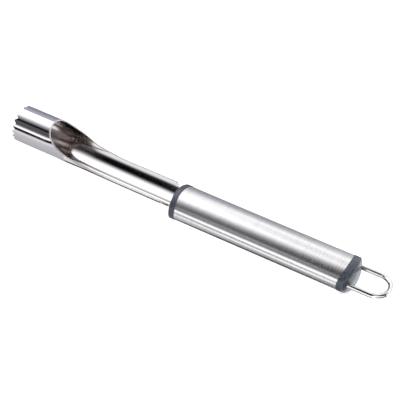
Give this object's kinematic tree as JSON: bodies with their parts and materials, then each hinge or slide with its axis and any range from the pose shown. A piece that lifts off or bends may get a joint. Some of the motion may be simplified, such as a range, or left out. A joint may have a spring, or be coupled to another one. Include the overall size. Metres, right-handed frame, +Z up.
{
  "type": "apple corer",
  "caption": "Apple corer: a steel tube with a saw-toothed mouth opens into a long trough and is set in an oval steel handle with a plastic collar, an end cap and a wire hanging loop.",
  "frame": {"origin": "middle of the whole length and of the width, on the surface that the handle lies on", "axes": "+X runs along the tool from the teeth to the hanging loop, +Y is across it, +Z is up, towards the open side of the trough"},
  "size_m": [0.2188, 0.0227, 0.0255],
  "materials": {
    "polished_steel": "mirror-polished stainless steel sheet with bright cut edges",
    "brushed_steel": "satin stainless steel with fine hairlines round its girth",
    "slate_plastic": "slate-grey moulded plastic with a fine mottle and a soft sheen",
    "loop_wire": "bright polished steel wire"
  },
  "bodies": {
    "root": {"corer_blade": "polished_steel", "front_collar": "slate_plastic", "handle_sleeve": "brushed_steel", "rear_cap": "slate_plastic", "hanging_loop": "loop_wire"}
  },
  "joints": []
}
